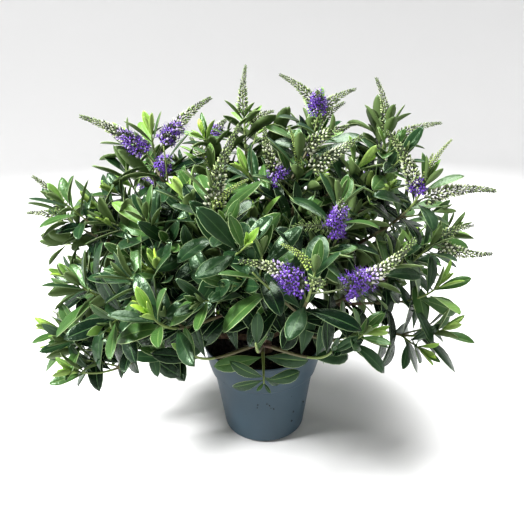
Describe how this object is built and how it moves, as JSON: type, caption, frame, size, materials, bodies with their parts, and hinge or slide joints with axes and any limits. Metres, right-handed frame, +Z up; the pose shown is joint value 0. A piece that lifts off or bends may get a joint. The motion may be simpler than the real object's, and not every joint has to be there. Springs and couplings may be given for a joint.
{
  "type": "hebe shrub",
  "caption": "Spreading flowering evergreen shrub with paired glossy leaves and tapering purple flower spikes, growing in a round plastic nursery pot.",
  "frame": {"origin": "middle of the flat underside of the pot", "axes": "+Z up along the pot's axis; -Y is the front, where a spray hangs over the rim; +X to the right seen from the front"},
  "size_m": [0.6246, 0.5602, 0.5004],
  "materials": {
    "pot_plastic": "matte blue-grey moulded plastic",
    "potting_soil": "dark damp peat with crumbs",
    "bark": "rough brown bark",
    "foliage": "glossy leaves, satin flower spikes"
  },
  "bodies": {
    "root": {"pot": "pot_plastic", "soil": "potting_soil", "main_stem": "bark", "bough_upper_left": "bark", "bough_low_left": "bark", "bough_front_left": "bark", "bough_front_low": "bark", "bough_front_right": "bark", "bough_centre": "bark", "bough_top": "bark", "bough_upper_right": "bark", "bough_low_right": "bark", "bough_back_right": "bark", "bough_back_low": "bark", "bough_back_left": "bark", "upper_left_spray_1": "foliage", "upper_left_spray_2": "foliage", "upper_left_spray_3": "foliage", "upper_left_spray_4": "foliage", "upper_left_spray_5": "foliage", "low_left_spray_1": "foliage", "low_left_spray_2": "foliage", "low_left_spray_3": "foliage", "low_left_spray_4": "foliage", "low_left_spray_5": "foliage", "front_left_spray_1": "foliage", "front_left_spray_2": "foliage", "front_left_spray_3": "foliage", "front_low_spray_1": "foliage", "front_low_spray_2": "foliage", "front_low_spray_3": "foliage", "front_low_spray_4": "foliage", "front_right_spray_1": "foliage", "front_right_spray_2": "foliage", "front_right_spray_3": "foliage", "front_right_spray_4": "foliage", "centre_spray_1": "foliage", "centre_spray_2": "foliage", "centre_spray_3": "foliage", "top_spray_1": "foliage", "top_spray_2": "foliage", "top_spray_3": "foliage", "top_spray_4": "foliage", "upper_right_spray_1": "foliage", "upper_right_spray_2": "foliage", "low_right_spray_1": "foliage", "low_right_spray_2": "foliage", "low_right_spray_3": "foliage", "low_right_spray_4": "foliage", "back_right_spray_1": "foliage", "back_right_spray_2": "foliage", "back_right_spray_3": "foliage", "back_right_spray_4": "foliage", "back_low_spray_1": "foliage", "back_low_spray_2": "foliage", "back_low_spray_3": "foliage", "back_left_spray_1": "foliage", "back_left_spray_2": "foliage", "back_left_spray_3": "foliage", "back_left_spray_4": "foliage"}
  },
  "joints": []
}
